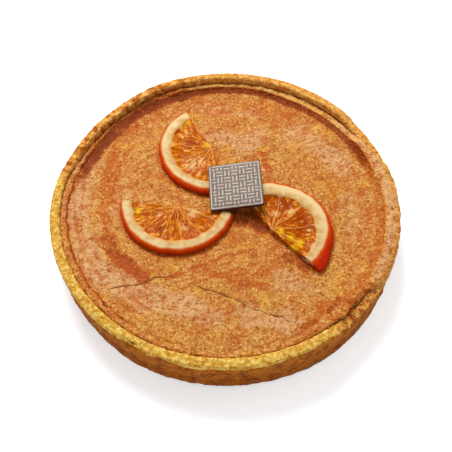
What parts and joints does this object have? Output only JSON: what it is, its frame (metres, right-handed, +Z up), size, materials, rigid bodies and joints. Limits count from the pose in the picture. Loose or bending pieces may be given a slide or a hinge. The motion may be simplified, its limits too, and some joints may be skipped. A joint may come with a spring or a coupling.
{
  "type": "gateau basque",
  "caption": "Round baked shortcrust cake with a raised rim, a glazed pastry lid, candied orange half slices and a square chocolate plaque on top.",
  "frame": {"origin": "middle of the cake's underside, on the surface that it stands on", "axes": "+Z up; +X to the right, towards the place where the lid laps over the rim; the front of the cake is at -Y and the lid is lower at the back, +Y"},
  "size_m": [0.2201, 0.221, 0.037],
  "materials": {
    "baked_shortcrust": "matte, crumbly, golden at the rim and brown at the side",
    "glazed_lid_pastry": "egg-washed golden brown, with a soft sheen",
    "candied_orange": "wet syrup gloss",
    "printed_chocolate": null
  },
  "bodies": {
    "root": {"pastry_shell": "baked_shortcrust", "pastry_lid": "glazed_lid_pastry", "orange_slice_back": "candied_orange", "orange_slice_left": "candied_orange", "orange_slice_right": "candied_orange", "chocolate_plaque": "printed_chocolate"}
  },
  "joints": []
}
